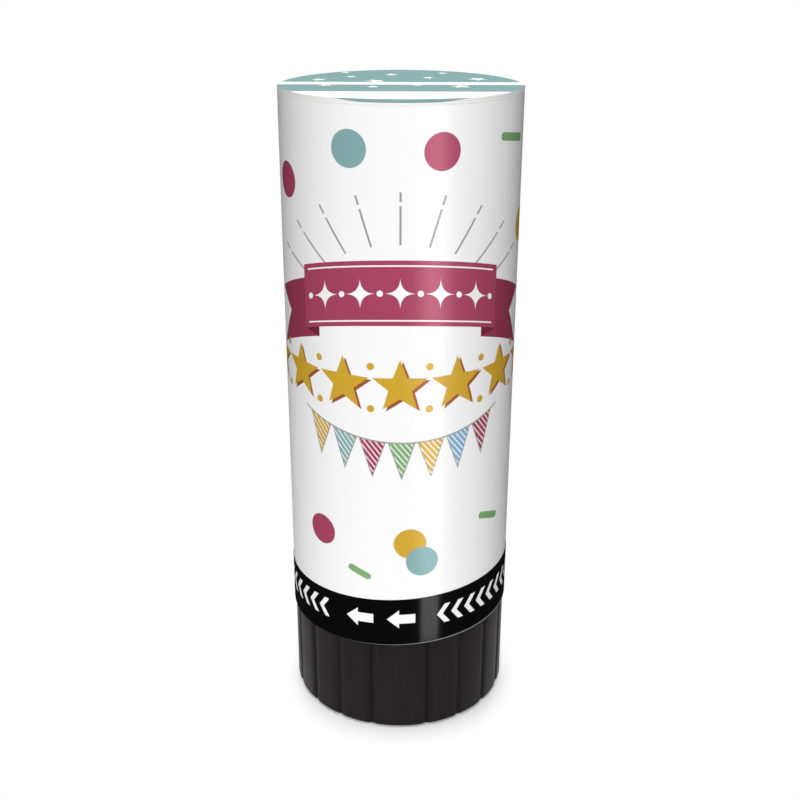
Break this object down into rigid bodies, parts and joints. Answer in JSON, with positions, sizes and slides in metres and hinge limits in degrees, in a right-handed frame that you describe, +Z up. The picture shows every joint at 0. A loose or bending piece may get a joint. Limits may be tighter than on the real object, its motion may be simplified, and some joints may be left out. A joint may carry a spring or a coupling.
{
  "type": "confetti popper",
  "caption": "Hand-held twist-base confetti popper: a printed cardboard tube with a peel-off lid, a spring-driven pusher and a fluted grip that turns to release it.",
  "frame": {"origin": "centre of the grip's foot ring, on the surface that the popper stands on", "axes": "+Z up the tube towards the mouth, -Y to the front of the printed label, +X to the right seen from the front"},
  "size_m": [0.0404, 0.04, 0.112],
  "materials": {
    "tube_board": "spiral-wound grey-brown board, matt",
    "label_paper": "gloss-coated white paper with printed dots, ribbon and bunting",
    "band_film": "gloss black film printed with white arrows",
    "plug_plastic": "moulded, satin black",
    "grip_plastic": "moulded charcoal plastic, fine satin",
    "cam_plastic": "moulded, satin grey",
    "catch_plastic": "natural nylon",
    "spring_steel": "drawn spring wire",
    "pusher_plastic": "moulded, natural",
    "wad_board": "greyboard, matt",
    "teal_paper": "tissue paper, matt",
    "raspberry_paper": "tissue paper, matt",
    "gold_paper": "tissue paper, matt",
    "green_paper": "tissue paper, matt",
    "white_paper": "tissue paper, matt",
    "seal_card": "coated card printed teal with small white stars",
    "fold_card": "white cut edge of folded card",
    "tab_card": "coated card printed teal with a plain white strip"
  },
  "bodies": {
    "barrel": {"barrel_tube": "tube_board", "label_wrap": "label_paper", "turn_band": "band_film", "base_plug": "plug_plastic"},
    "grip": {"twist_grip": "grip_plastic", "release_cam": "cam_plastic"},
    "plunger": {"pusher": "pusher_plastic", "pusher_wad": "wad_board", "catch_clip": "catch_plastic", "main_spring": "spring_steel", "confetti_teal": "teal_paper", "confetti_raspberry": "raspberry_paper", "confetti_gold": "gold_paper", "confetti_green": "green_paper", "confetti_white": "white_paper"},
    "lid": {"seal_disc": "seal_card", "tab_fold": "fold_card"},
    "tab": {"lift_tab": "tab_card"}
  },
  "joints": [
    {"name": "grip_turn", "type": "hinge", "parent": "barrel", "child": "grip", "pos_m": [0, 0, 0.01], "axis": [0, 0, -1], "range_deg": [0, 90]},
    {"name": "pusher_slide", "type": "slide", "parent": "barrel", "child": "plunger", "axis": [0, 0, 1], "range_m": [0, 0.06], "deforming": ["main_spring", "catch_clip"]},
    {"name": "lid_slide", "type": "slide", "parent": "barrel", "child": "lid", "axis": [0, 0, 1], "range_m": [0, 0.06]},
    {"name": "tab_lift", "type": "hinge", "parent": "lid", "child": "tab", "pos_m": [0, -0.0007, 0.1117], "axis": [-1, 0, 0], "range_deg": [0, 100]}
  ],
  "couplings": [
    {"joint": "lid_slide", "follows": "pusher_slide", "ratio": 1}
  ]
}
